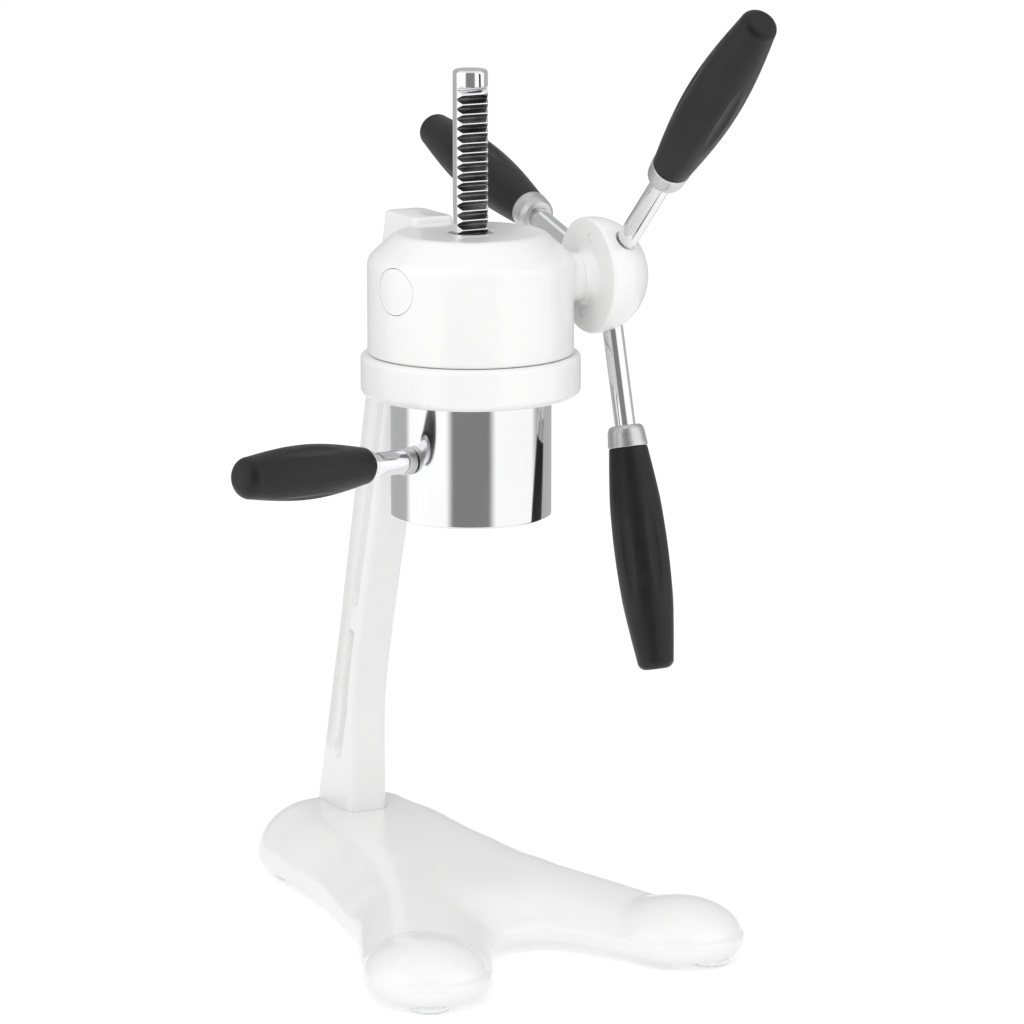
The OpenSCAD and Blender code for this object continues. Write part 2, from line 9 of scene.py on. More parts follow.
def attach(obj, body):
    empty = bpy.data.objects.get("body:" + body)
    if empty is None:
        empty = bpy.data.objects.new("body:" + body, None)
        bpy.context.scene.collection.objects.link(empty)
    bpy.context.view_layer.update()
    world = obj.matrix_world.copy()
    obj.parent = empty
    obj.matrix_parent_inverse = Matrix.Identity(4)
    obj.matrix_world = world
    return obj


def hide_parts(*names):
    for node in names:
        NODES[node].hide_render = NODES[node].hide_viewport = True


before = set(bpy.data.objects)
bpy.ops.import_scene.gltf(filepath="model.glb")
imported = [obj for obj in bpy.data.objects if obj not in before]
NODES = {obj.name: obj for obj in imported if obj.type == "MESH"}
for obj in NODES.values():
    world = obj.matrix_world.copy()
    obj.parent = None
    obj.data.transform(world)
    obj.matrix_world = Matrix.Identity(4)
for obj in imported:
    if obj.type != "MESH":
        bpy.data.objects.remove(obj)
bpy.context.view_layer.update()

pi = math.pi

# ---------------------------------------------------------------- camera
cam_data = bpy.data.cameras.new("camera")
cam = bpy.data.objects.new("camera", cam_data)
bpy.context.scene.collection.objects.link(cam)
yaw, pitch = math.radians(28.85), math.radians(11.83)
look = Vector((math.sin(yaw) * math.cos(pitch), math.cos(yaw) * math.cos(pitch), -math.sin(pitch)))
cam.location = (-1.2819, -2.3758, 0.8169)
cam.rotation_mode = "QUATERNION"
cam.rotation_quaternion = look.to_track_quat("-Z", "Y")
cam_data.sensor_width = 36.0
cam_data.lens = 168.5
cam_data.clip_start, cam_data.clip_end = 0.05, 60.0
bpy.context.scene.camera = cam


# ---------------------------------------------------------------- node helpers
def new_material(name):
    m = bpy.data.materials.new(name)
    m.use_nodes = True
    nt = m.node_tree
    return m, nt, nt.nodes["Principled BSDF"]


def coords(nt, stretch=(1, 1, 1)):
    tc = nt.nodes.new("ShaderNodeTexCoord")
    mp = nt.nodes.new("ShaderNodeMapping")
    mp.inputs["Scale"].default_value = stretch
    nt.links.new(tc.outputs["Object"], mp.inputs["Vector"])
    return mp.outputs["Vector"]


def noise(nt, scale, detail=3.0, rough=0.5, stretch=(1, 1, 1), distortion=0.0):
    n = nt.nodes.new("ShaderNodeTexNoise")
    n.inputs["Scale"].default_value = scale
    n.inputs["Detail"].default_value = detail
    n.inputs["Roughness"].default_value = rough
    n.inputs["Distortion"].default_value = distortion
    nt.links.new(coords(nt, stretch), n.inputs["Vector"])
    return n.outputs["Fac"]


def ranged(nt, value, lo, hi, a=0.3, b=0.7):
    r = nt.nodes.new("ShaderNodeMapRange")
    r.inputs["From Min"].default_value = a
    r.inputs["From Max"].default_value = b
    r.inputs["To Min"].default_value = lo
    r.inputs["To Max"].default_value = hi
    nt.links.new(value, r.inputs["Value"])
    return r.outputs["Result"]


def blend_colour(nt, value, ca, cb, a=0.3, b=0.7):
    r = nt.nodes.new("ShaderNodeValToRGB")
    r.color_ramp.elements[0].position = a
    r.color_ramp.elements[0].color = (*ca, 1)
    r.color_ramp.elements[1].position = b
    r.color_ramp.elements[1].color = (*cb, 1)
    nt.links.new(value, r.inputs["Fac"])
    return r.outputs["Color"]


def bump(nt, height, strength, distance, normal=None):
    b = nt.nodes.new("ShaderNodeBump")
    b.inputs["Strength"].default_value = strength
    b.inputs["Distance"].default_value = distance
    nt.links.new(height, b.inputs["Height"])
    if normal is not None:
        nt.links.new(normal, b.inputs["Normal"])
    return b.outputs["Normal"]


def enamel(name, a=(0.782, 0.782, 0.780), b=(0.787, 0.787, 0.785)):
    m, nt, s = new_material(name)
    nt.links.new(blend_colour(nt, noise(nt, 4, 1), a, b, 0.0, 1.0), s.inputs["Base Color"])
    nt.links.new(ranged(nt, noise(nt, 9, 1), 0.26, 0.29, 0.0, 1.0), s.inputs["Roughness"])
    s.inputs["Coat Weight"].default_value = 0.45
    s.inputs["Coat Roughness"].default_value = 0.09
    return m


def metal(name, a, b, r0, r1, scale=30, stretch=(1, 1, 1), lines=None, wave=0.0):
    m, nt, s = new_material(name)
    nt.links.new(blend_colour(nt, noise(nt, scale, 3, 0.5, stretch), a, b), s.inputs["Base Color"])
    nt.links.new(ranged(nt, noise(nt, scale * 4, 4, 0.6, stretch), r0, r1), s.inputs["Roughness"])
    s.inputs["Metallic"].default_value = 1.0
    normal = None
    if wave:
        normal = bump(nt, noise(nt, 22, 2, 0.5, stretch), wave, 0.0008)
    if lines:
        sc, st, dist = lines
        normal = bump(nt, noise(nt, sc, 3, 0.6, (0.04, 0.04, 1.0)), st, dist, normal)
    if normal is not None:
        nt.links.new(normal, s.inputs["Normal"])
    return m


WHITE = enamel("white_enamel")
CHROME = metal("chrome", (0.80, 0.80, 0.81), (0.86, 0.86, 0.87), 0.035, 0.075, 25, lines=(900, 0.02, 0.00004))
STAINLESS = metal("polished_stainless", (0.76, 0.76, 0.765), (0.84, 0.84, 0.845), 0.06, 0.11, 18, (1, 1, 0.35), wave=0.10)
SATIN = metal("satin_ferrule", (0.58, 0.58, 0.58), (0.68, 0.68, 0.68), 0.30, 0.40, 60, lines=(2600, 0.25, 0.00006))
STEEL = metal("plain_steel", (0.48, 0.48, 0.49), (0.58, 0.58, 0.59), 0.24, 0.38, 80, lines=(1200, 0.12, 0.00005))
# painted shade on the rack teeth: a near-black copy of the rack metal for the down-facing flanks and roots, and a
# half-dark copy for the up-facing flanks
LOWER_FLANK_ROOT_SHADE = metal("painted_shade_lower_flanks_and_roots", (0.030, 0.030, 0.031), (0.20, 0.20, 0.20), 0.12, 0.28, 260, (0.25, 1, 1))
UPPER_FLANK_SHADE = metal("painted_shade_upper_tooth_flanks", (0.10, 0.10, 0.10), (0.74, 0.74, 0.74), 0.12, 0.26, 300, (0.18, 1, 1))
BRONZE = metal("bearing_bronze", (0.24, 0.16, 0.08), (0.36, 0.25, 0.12), 0.22, 0.36, 70, lines=(1500, 0.12, 0.00005))


def grip_material():
    m, nt, s = new_material("black_grip")
    nt.links.new(blend_colour(nt, noise(nt, 60, 4, 0.6), (0.0050, 0.0050, 0.0052), (0.0095, 0.0095, 0.0098)), s.inputs["Base Color"])
    nt.links.new(ranged(nt, noise(nt, 120, 4, 0.6), 0.36, 0.50), s.inputs["Roughness"])
    s.inputs["Specular IOR Level"].default_value = 0.33
    s.inputs["Sheen Weight"].default_value = 0.015
    s.inputs["Sheen Roughness"].default_value = 0.4
    v = nt.nodes.new("ShaderNodeTexVoronoi")
    v.inputs["Scale"].default_value = 1500
    nt.links.new(coords(nt), v.inputs["Vector"])
    n1 = bump(nt, noise(nt, 420, 4, 0.6), 0.16, 0.00025)
    nt.links.new(bump(nt, v.outputs["Distance"], 0.10, 0.00008, n1), s.inputs["Normal"])
    return m


def pad_material():
    m, nt, s = new_material("clear_pad")
    nt.links.new(blend_colour(nt, noise(nt, 90, 3), (0.88, 0.885, 0.885), (0.94, 0.945, 0.945)), s.inputs["Base Color"])
    nt.links.new(ranged(nt, noise(nt, 200, 3), 0.10, 0.20), s.inputs["Roughness"])
    s.inputs["Transmission Weight"].default_value = 0.70
    s.inputs["IOR"].default_value = 1.45
    nt.links.new(bump(nt, noise(nt, 300, 3), 0.10, 0.0001), s.inputs["Normal"])
    return m


GRIP = grip_material()
PAD = pad_material()


# ---------------------------------------------------------------- mesh helpers (millimetres)
def T(x, y, z):
    return Matrix.Translation((x, y, z))


def R(axis, deg):
    return Matrix.Rotation(math.radians(deg), 4, axis)


def arc(cx, cy, r, a, b, n):
    return [(cx + r * math.cos(math.radians(a + (b - a) * i / n)), cy + r * math.sin(math.radians(a + (b - a) * i / n))) for i in range(n + 1)]


def rounded(pts, radii, seg=6, closed=False):
    pts = [np.array(p, float) for p in pts]
    out, n = [], len(pts)
    for i, p in enumerate(pts):
        r = radii[i] if hasattr(radii, "__len__") else radii
        if r <= 0 or (not closed and i in (0, n - 1)):
            out.append(p)
            continue
        u, v = pts[i - 1] - p, pts[(i + 1) % n] - p
        lu, lv = np.linalg.norm(u), np.linalg.norm(v)
        u, v = u / lu, v / lv
        ang = math.acos(float(np.clip(u @ v, -1, 1)))
        if ang > pi - 1e-3:
            out.append(p)
            continue
        t = min(r / math.tan(ang / 2), lu * 0.49, lv * 0.49)
        r2 = t * math.tan(ang / 2)
        m = (u + v) / np.linalg.norm(u + v)
        c = p + m * (r2 / math.sin(ang / 2))
        s, e = p + u * t - c, p + v * t - c
        a0, a1 = math.atan2(s[1], s[0]), math.atan2(e[1], e[0])
        d = (a1 - a0 + pi) % (2 * pi) - pi
        for k in range(seg + 1):
            a = a0 + d * k / seg
            out.append(c + r2 * np.array([math.cos(a), math.sin(a)]))
    return [tuple(map(float, q)) for q in out]


def supported(profile, closed):
    """Adds a ring close to each end of a long straight stretch, so that its shading stays straight."""
    out, m = [], len(profile)
    for i in range(m):
        a = profile[i]
        out.append(a)
        if i == m - 1 and not closed:
            break
        b = profile[(i + 1) % m]
        d = math.hypot(b[0] - a[0], b[1] - a[1])
        if d > 2.5:
            for t in (0.3 / d, 1 - 0.3 / d):
                r = a[0] + (b[0] - a[0]) * t
                if r > 0.4:
                    out.append((r, a[1] + (b[1] - a[1]) * t))
    return out


def lathe(profile, n=160, closed=False, radius_at=None):
    profile = supported([tuple(q) for q in profile], closed)
    verts, faces, rows = [], [], []
    for r, z in profile:
        if r < 1e-6:
            rows.append([len(verts)])
            verts.append((0, 0, z))
        else:
            rows.append(list(range(len(verts), len(verts) + n)))
            for i in range(n):
                a = 2 * pi * i / n
                q = r if radius_at is None else radius_at(r, z, a)
                verts.append((q * math.cos(a), q * math.sin(a), z))
    pairs = list(zip(rows, rows[1:])) + ([(rows[-1], rows[0])] if closed else [])
    for A, B in pairs:
        if len(A) == 1 and len(B) == 1:
            continue
        for i in range(n):
            j = (i + 1) % n
            if len(A) == 1:
                faces.append((A[0], B[i], B[j]))
            elif len(B) == 1:
                faces.append((A[i], A[j], B[0]))
            else:
                faces.append((A[i], A[j], B[j], B[i]))
    return verts, faces


def prism(poly, z0, z1):
    n = len(poly)
    verts = [(x, y, z0) for x, y in poly] + [(x, y, z1) for x, y in poly]
    faces = [tuple(range(n - 1, -1, -1)), tuple(range(n, 2 * n))]
    faces += [(i, (i + 1) % n, n + (i + 1) % n, n + i) for i in range(n)]
    return verts, faces


def box(x0, y0, z0, x1, y1, z1):
    return prism([(x0, y0), (x1, y0), (x1, y1), (x0, y1)], z0, z1)


def rod(r, z0, z1, n=64):
    return lathe([(0, z0), (r, z0), (r, z1), (0, z1)], n)


def solid(shape, matrix=None):
    verts, faces = shape
    me = bpy.data.meshes.new("solid")
    me.from_pydata([tuple(map(float, v)) for v in verts], [], [tuple(f) for f in faces])
    if matrix is not None:
        me.transform(matrix)
    bm = bmesh.new()
    bm.from_mesh(me)
    bmesh.ops.recalc_face_normals(bm, faces=bm.faces)
    if bm.calc_volume(signed=True) < 0:
        bmesh.ops.reverse_faces(bm, faces=bm.faces)
    bm.to_mesh(me)
    bm.free()
    me.update()
    return me


def boolean(me, others, op):
    for other in others:
        a = bpy.data.objects.new("a", me)
        b = bpy.data.objects.new("b", other)
        for o in (a, b):
            bpy.context.scene.collection.objects.link(o)
        mod = a.modifiers.new("boolean", "BOOLEAN")
        mod.operation, mod.solver, mod.object = op, "EXACT", b
        bpy.context.view_layer.update()
        made = bpy.data.meshes.new_from_object(a.evaluated_get(bpy.context.evaluated_depsgraph_get()))
        bpy.data.objects.remove(a)
        bpy.data.objects.remove(b)
        bpy.data.meshes.remove(other)
        me = made
    return me


def cut(me, *others):
    return boolean(me, others, "DIFFERENCE")


def add(me, *others):
    return boolean(me, others, "UNION")


def show(name, me, body, material, replaces, matrix=None, angle=32, bevel=0.0, segments=2):
    """me, in millimetres, becomes a shown piece of the object, riding on a body in place of CAD nodes."""
    if matrix is not None:
        me.transform(matrix)
    me.transform(Matrix.Scale(0.001, 4))
    me.materials.clear()
    me.materials.append(material)
    me.polygons.foreach_set("use_smooth", [True] * len(me.polygons))
    me.polygons.foreach_set("material_index", [0] * len(me.polygons))
    me.set_sharp_from_angle(angle=math.radians(angle))
    me.name = name
    o = bpy.data.objects.new(name, me)
    bpy.context.scene.collection.objects.link(o)
    if bevel:
        mod = o.modifiers.new("soft_edges", "BEVEL")
        mod.width, mod.segments, mod.limit_method = bevel * 0.001, segments, "ANGLE"
        mod.angle_limit = math.radians(30)
        mod.harden_normals = False
    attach(o, body)
    if replaces:
        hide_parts(*replaces)
    return o


# ---------------------------------------------------------------- base
def smin(a, b, k):
    h = np.maximum(k - np.abs(a - b), 0) / k
    return np.minimum(a, b) - h * h * k / 4


def smax(a, b, k):
    return -smin(-a, -b, k)


def cap2(p, a, b, ra, rb):
    a, b = np.array(a, float), np.array(b, float)
    ab, ap = b - a, p - a
    t = np.clip((ap @ ab) / (ab @ ab), 0, 1)
    return np.linalg.norm(ap - t[..., None] * ab, axis=-1) - (ra + (rb - ra) * t)


LOBE, LOBE_R, REAR, REAR_R = np.array([82.5, -101.5]), 36.0, np.array([20.6, 161.3]), 34.6
WIDE_Z, RIM_Z, TOP_Z, LOBE_Z = 12.0, 5.0, 42.0, 34.2


def half_plan(p):
    return smin(cap2(p, (34, 0), LOBE, 39.2, LOBE_R), cap2(p, (16, 67), REAR, 36, REAR_R), 70)


def plan(p):
    q = p * np.array([-1.0, 1.0])
    return smin(smin(half_plan(p), half_plan(q), 57), cap2(p, (0, 117), (0, 4), 51.6, 50.4), 24)


def base_height(p):
    d = np.linalg.norm(np.stack([np.abs(p[..., 0]), p[..., 1]], -1) - LOBE - np.array([0.5, 3.5]), axis=-1) / LOBE_R
    dome = WIDE_Z + (LOBE_Z - WIDE_Z) * np.maximum(0, 1 - d * d) ** 0.52
    t = np.clip((p[..., 1] + 101.5) / 225, 0, 1)
    crown = 24.8 + (TOP_Z - 24.8) * np.sin(t * pi / 2)
    e = 1 - np.minimum(1, np.maximum(0, -plan(p)) / 50)
    h = smin(WIDE_Z + 1.155 * (crown - WIDE_Z) * np.sqrt(1 - e * e), crown, 3)
    return smax(h, dome, 9)


def base_shape(n=512, m=96):
    centre = np.array([0.0, 8.0])
    a = 2 * pi * np.arange(n) / n
    d = np.stack([np.cos(a), np.sin(a)], 1)
    lo, hi = np.full(n, 20.0), np.full(n, 230.0)
    for _ in range(26):
        mid = (lo + hi) / 2
        inside = plan(centre + d * mid[:, None]) < 0
        lo, hi = np.where(inside, mid, lo), np.where(inside, hi, mid)
    edge = centre + d * (lo - 0.12)[:, None]
    t = np.roll(edge, -1, 0) - np.roll(edge, 1, 0)
    inward = np.stack([-t[:, 1], t[:, 0]], 1) / np.linalg.norm(t, axis=1)[:, None]
    rows = []
    for k in range(14, 0, -1):
        th = pi / 2 * k / 14
        q = edge + inward * 5.1 * (1 - math.cos(th))
        rows.append(np.column_stack([q, np.full(n, WIDE_Z - (WIDE_Z - RIM_Z) * math.sin(th))]))
    rows.append(np.column_stack([edge, np.full(n, WIDE_Z)]))
    for k in range(1, m):
        s = 1 - (k / m) ** 2
        q = centre + (edge - centre) * s
        rows.append(np.column_stack([q, base_height(q)]))
    verts = [tuple(v) for r in rows for v in r]
    verts += [(centre[0], centre[1], float(base_height(centre[None])[0])), (centre[0], centre[1], RIM_Z)]
    faces = []
    for k in range(len(rows) - 1):
        for i in range(n):
            j = (i + 1) % n
            faces.append((k * n + i, k * n + j, (k + 1) * n + j, (k + 1) * n + i))
    top = (len(rows) - 1) * n
    faces += [(top + i, top + (i + 1) % n, len(rows) * n) for i in range(n)]
    faces += [(i, len(rows) * n + 1, (i + 1) % n) for i in range(n)]
    return verts, faces


UNDER = [(17, 178), (24, 138), (31, 124), (33, 96), (42, 44), (55, -4), (74, -44), (86, -66), (92, -88),
         (78, -102), (66, -124), (56, -116), (52, -90), (44, -60), (22, -42)]
FEET = [(90.8, -119.3), (-90.8, -119.3), (40, 153.9), (-40, 153.9)]
base = solid(base_shape())
base = cut(
    base,
    solid(prism(rounded(UNDER + [(-x, y) for x, y in reversed(UNDER)], 5, 5, True), -1, 16)),
    solid(prism(rounded([(-16, 122), (-22, 100), (-28, 60), (-30, 10), (-20, -12), (20, -12), (30, 10), (28, 60), (22, 100), (16, 122)], 5, 5, True), 4, 27)),
    solid(prism(rounded([(-13.0, 130.8), (13.0, 130.8), (13.0, 178.8), (-13.0, 178.8)], 4.8, 8, True), 28, 60)),
    *[solid(rod(3.3, 10, 40, 32), T(0, y, 0)) for y in (145, 166)],
    *[solid(rod(7.5, 10, 18.9, 48), T(0, y, 0)) for y in (145, 166)],
    *[solid(rod(3.05, 0, 17, 32), T(x, y, 0)) for x, y in FEET],
)
show("base_casting", base, "frame", WHITE, ["base"], angle=38)

for (x, y), name in zip(FEET, ("front_right", "front_left", "rear_right", "rear_left")):
    prof = [(0, 0)] + rounded([(0.01, 0), (8.8, 0), (11, 0.9), (11, 3.0), (8.8, 4.7), (6.5, 5), (3, 5)], [0, 0.6, 1.2, 1.2, 1.0, 0.5, 0], 5)[1:] + [(3, 16), (0, 16)]
    show("foot_" + name, solid(lathe(prof, 96)), "frame", PAD, ["foot_pad_" + name], T(x, y, 0))

# ---------------------------------------------------------------- column
ST = np.array([(28, 131, 178.5), (44, 131, 177), (67, 131, 170.8), (92, 131, 164.6), (108, 130.2, 160.4), (127, 127, 155.4),
               (160, 118.6, 146.2), (190, 110.4, 138.6), (224, 100.4, 130.2), (256, 91.6, 122.3), (288, 82.8, 114.4),
               (320, 74, 106), (345.9, 66.8, 98.9)])


def hermite(z, x, y):
    slope = np.gradient(y, x)
    i = np.clip(np.searchsorted(x, z) - 1, 0, len(x) - 2)
    h = x[i + 1] - x[i]
    t = (z - x[i]) / h
    return ((2 * t**3 - 3 * t**2 + 1) * y[i] + (t**3 - 2 * t**2 + t) * h * slope[i]
            + (-2 * t**3 + 3 * t**2) * y[i + 1] + (t**3 - t**2) * h * slope[i + 1])


def near(y, z, y0, z0, y1, z1):
    d = np.array([y1 - y0, z1 - z0], float)
    p = np.stack([y - y0, z - z0], -1)
    t = np.clip((p @ d) / (d @ d), 0, 1)
    return np.linalg.norm(p - t[..., None] * d, axis=-1)


def smooth(t):
    t = np.clip(t, 0, 1)
    return t * t * (3 - 2 * t)


def slot_depth(y, z, y0, z0, y1, z1, r):
    """A channel with a steep wall towards the front and a long soft slope towards the rear."""
    d = np.array([y1 - y0, z1 - z0], float)
    length = np.linalg.norm(d)
    u = d / length
    along = (y - y0) * u[0] + (z - z0) * u[1]
    across = -(y - y0) * u[1] + (z - z0) * u[0]
    over = np.maximum(np.maximum(-along, along - length), 0)
    w = 1.8 + 3.2 * np.clip(0.5 - across / 8, 0, 1) + 2.6 * np.clip(-along / 6, 0, 1)
    return smooth((r - np.hypot(across, over)) / w)


def groove(y, z, f, b):
    a = slot_depth(y, z, 125.2, 181, 87.4, 312, 8.4)
    c = slot_depth(y, z, 149.4, 79.5, 129.8, 150.5, 7.2)
    deep = 7.0 * np.maximum(a, c)
    # a shallow channel inside a thin rear flange
    inner = smooth((b - 3.6 - y) / 2.4) * smooth((y - f - 11) / 7) * smooth((z - 74) / 14) * smooth((342 - z) / 6)
    return np.maximum(deep, 3.0 * inner)


def column_shape():
    w, r, side, rear = 12.9, 5.0, 76, 8
    rows = []
    zs = list(np.linspace(28, 345.9, 400)) + [346.4, 373.9, 374.4, 400, 415.6, 416.5, 417.0, 417.2]
    top = {346.4: (51.3, 98.9), 373.9: (51.3, 93.4), 374.4: (42.3, 93.3), 400: (42.3, 87.6), 415.6: (42.3, 83.9), 416.5: (42.6, 83.5), 417.0: (43.1, 83.0), 417.2: (43.8, 82.3)}
    for z in zs:
        if z in top:
            f, b = top[z]
        else:
            f, b = float(hermite(np.array(z), ST[:, 0], ST[:, 1])), float(hermite(np.array(z), ST[:, 0], ST[:, 2]))
        hw = w - {416.5: 0.3, 417.0: 0.8, 417.2: 1.5}.get(z, 0)
        ys = np.linspace(f + r, b - r, side)
        g = groove(ys, np.full(side, z), f, b) if z < 345.9 else np.zeros(side)
        ring = [(hw - g[i], ys[i]) for i in range(side)]
        ring += [(hw - r + r * math.cos(a), b - r + r * math.sin(a)) for a in np.linspace(0, pi / 2, 10)[1:]]
        ring += [(x, b) for x in np.linspace(hw - r, r - hw, rear)[1:]]
        ring += [(r - hw + r * math.cos(a), b - r + r * math.sin(a)) for a in np.linspace(pi / 2, pi, 10)[1:]]
        ring += [(-hw + g[i], ys[i]) for i in range(side - 1, -1, -1)][1:]
        ring += [(r - hw + r * math.cos(a), f + r + r * math.sin(a)) for a in np.linspace(pi, 1.5 * pi, 10)[1:]]
        ring += [(x, f) for x in np.linspace(r - hw, hw - r, rear)[1:]]
        ring += [(hw - r + r * math.cos(a), f + r + r * math.sin(a)) for a in np.linspace(1.5 * pi, 2 * pi, 10)[1:-1]]
        rows.append([(x, y, z) for x, y in ring])
    n = len(rows[0])
    verts = [v for q in rows for v in q]
    faces = []
    for k in range(len(rows) - 1):
        for i in range(n):
            j = (i + 1) % n
            faces.append((k * n + i, k * n + j, (k + 1) * n + j, (k + 1) * n + i))
    faces += [tuple(range(n - 1, -1, -1)), tuple(range((len(rows) - 1) * n, len(rows) * n))]
    return verts, faces


column = cut(
    solid(column_shape()),
    *[solid(rod(3, 20, 54, 32), T(0, y, 0)) for y in (145, 166)],
    *[solid(rod(3.25, 0, 60, 32), T(0, 30, z) @ R("X", -90)) for z in (384, 404)],
    *[solid(rod(5.4, 0, 30, 48), T(0, 72, z) @ R("X", -90)) for z in (384, 404)],
)
show("column_casting", column, "frame", WHITE, ["column"], angle=40)

# ---------------------------------------------------------------- head
SY, SZ = -14.75, 386.0


def along_x(x):
    return T(x, SY, SZ) @ R("Y", 90)


SHOULDER = arc(49, 395.4, 10, 0, 43, 12) + arc(40, 406.7, 7.6, 46, 90, 12)
head_profile = [(46, 345.2)] + [(58.0, 345.2), (58.6, 345.45), (59, 346.1)] + SHOULDER \
    + rounded([(40, 414.3), (13, 414.3), (13, 400)], [0, 0.9, 0], 5)[1:] + [(10.06, 400), (10.06, 370), (46, 370)]
head = solid(lathe(head_profile, 256, closed=True))
head = add(head, solid(rod(14, 40, 59.3, 96), T(0, SY, SZ) @ R("Y", 90)))
head = cut(
    head,
    solid(rod(13.5, -12, 12, 64), along_x(0)),
    solid(rod(11, -50.5, 80, 64), along_x(0)),
    solid(rod(13.5, -70, -50, 128), along_x(0)),
    solid(box(-13.1, 51, 340, 13.1, 81, 430)),
    solid(box(-13.1, 42, 374, 13.1, 72, 434)),
    *[solid(rod(3.05, 0, 40, 32), T(0, 24, z) @ R("X", -90)) for z in (384, 404)],
    *[solid(rod(2.55, 340, 364, 32), R("Z", a) @ T(54.5, 0, 0)) for a in (60, 150, 240, 330)],
    solid(rod(4, 0, 70, 48), T(0, 0, 392) @ R("Z", 50) @ R("Y", 90)),
)
show("head_casting", head, "frame", WHITE, ["head_housing"], angle=30)

# cap: the disc's outer face follows the head's wall
cap = solid(rod(13.14, -70, -50, 128), along_x(0))
wall = solid(lathe([(0, 360)] + rounded([(58.93, 360), (58.93, 395.4)], 0) + [(q[0] - 0.07, q[1]) for q in SHOULDER[1:]] + [(0, 414.2)], 256))
cap = boolean(cap, [wall], "INTERSECT")
show("blank_bearing_cap", cap, "frame", WHITE, ["bearing_cap"], angle=30, bevel=0.25)

# ---------------------------------------------------------------- collar
collar_profile = rounded(
    [(46.6, 321), (46.6, 330), (50.6, 330), (50.6, 337), (46.6, 337), (46.6, 345), (63, 345), (63, 321)],
    [0.5, 0.3, 0.3, 0.3, 0.3, 0.5, 3.2, 4.6], 10, True)
collar = solid(lathe(collar_profile, 256, closed=True))
collar = cut(
    collar,
    *[solid(box(40, -8.2, 320, 50.6, 8.2, 330.5), R("Z", a)) for a in (15, 135, 255)],
    *[solid(rod(2.75, 310, 350, 32), R("Z", a) @ T(54.5, 0, 0)) for a in (60, 150, 240, 330)],
    *[solid(rod(4.7, 310, 326.2, 48), R("Z", a) @ T(54.5, 0, 0)) for a in (60, 150, 240, 330)],
)
show("collar_casting", collar, "frame", WHITE, ["collar_ring"], angle=30)

# ---------------------------------------------------------------- rack
pitch_mm = pi * 1.75
tip_y, root_y = -4.25 - 1.75, -4.25 + 1.95
tip_hw = pitch_mm / 4 + 1.75 * math.tan(math.radians(25))
root_hw = pitch_mm / 4 - 1.95 * math.tan(math.radians(25))
teeth = [(-20, 373), (tip_y, 373)]
for k in range(-2, 21):
    z = SZ + k * pitch_mm
    teeth += rounded([(tip_y - 0.6, z - tip_hw - 0.28), (root_y, z - root_hw), (root_y, z + root_hw), (tip_y - 0.6, z + tip_hw + 0.28)], [0, 0.45, 0.45, 0], 3)
teeth = [(max(-20, y), z) for y, z in teeth] + [(tip_y, 497.6), (-20, 497.6)]
teeth = [(y if y > tip_y else (tip_y if y > -19 else -20), z) for y, z in teeth]
cutter = prism(teeth, -15, 15)
swap = Matrix(((0, 0, 1, 0), (1, 0, 0, 0), (0, 1, 0, 0), (0, 0, 0, 1)))
rack = solid(lathe([(0, 356), (10, 356), (10, 504.9)] + arc(7.9, 504.9, 2.1, 0, 90, 8)[1:] + [(0, 507)], 128))
rack = cut(rack, solid(cutter, swap), solid(rod(4, 350, 376, 48)))
rack_bar = show("rack_bar", rack, "rack_and_plunger", CHROME, ["rack"], angle=25, bevel=0.08)
# painted shade on the rack teeth, chosen by face direction: up-facing flanks get the half-dark copy, the other flank
# and root faces get the near-black copy
rack.materials.append(LOWER_FLANK_ROOT_SHADE)
rack.materials.append(UPPER_FLANK_SHADE)
for f in rack.polygons:
    c = f.center
    if 0.373 < c.z < 0.4925 and c.y > -0.00595 and math.hypot(c.x, c.y) < 0.0097:
        f.material_index = 2 if f.normal.z > 0.3 else 1

# ---------------------------------------------------------------- hub, arms and grips
HUB_R = 33.6
hub_profile = [(0, 59.7)] + rounded([(0.01, 59.7), (13.4, 59.7), (13.6, 61.9)], [0, 0.5, 0], 3)[1:] \
    + [(18.6 - 5 * math.cos(pi / 2 * i / 10), 61.9 + 5 * math.sin(pi / 2 * i / 10)) for i in range(1, 11)] \
    + rounded([(18.6, 66.9), (33.6, 67.3), (33.6, 71.4)], [0, 3.7, 0], 10)[1:-1] \
    + [(HUB_R * math.cos(pi / 2 * i / 36), 71.4 + 31.6 * math.sin(pi / 2 * i / 36)) for i in range(0, 36)] + [(0, 103.0)]
ARM_X, ARM_A, LEAN = 80.3, 45.6, 0.5


def arm_frame(k):
    return T(ARM_X, SY, SZ) @ R("X", ARM_A + 120 * k) @ R("Y", LEAN)


hub = solid(lathe(hub_profile, 256), T(0, SY, SZ) @ R("Y", 90))
hub = cut(
    hub,
    solid(rod(6.5, 55, 93, 64), along_x(0)),
    *[solid(rod(2.55, 64.5, 73.5, 48), T(0, SY, SZ) @ R("X", a) @ T(0, 0, 23) @ R("Y", 90)) for a in (12, 192)],
    *[solid(rod(6.05, 8.5, 48.5, 64), arm_frame(k)) for k in range(3)],
    *[solid(rod(7.0, 31, 51, 64), arm_frame(k)) for k in range(3)],
)
show("hub_ball", hub, "capstan", WHITE, ["hub"], angle=34)
plugs = None
for a in (12, 192):
    m = solid(lathe([(0, 67.15)] + rounded([(0.01, 67.15), (2.46, 67.15), (2.46, 73)], [0, 0.4, 0], 4)[1:] + [(0, 73)], 48), T(0, SY, SZ) @ R("X", a) @ T(0, 0, 23) @ R("Y", 90))
    plugs = m if plugs is None else add(plugs, m)
show("hub_back_plugs", plugs, "capstan", WHITE, ["hub_plugs"], angle=30)

GRIP_START, GRIP_LEN = 100.4, 128.6


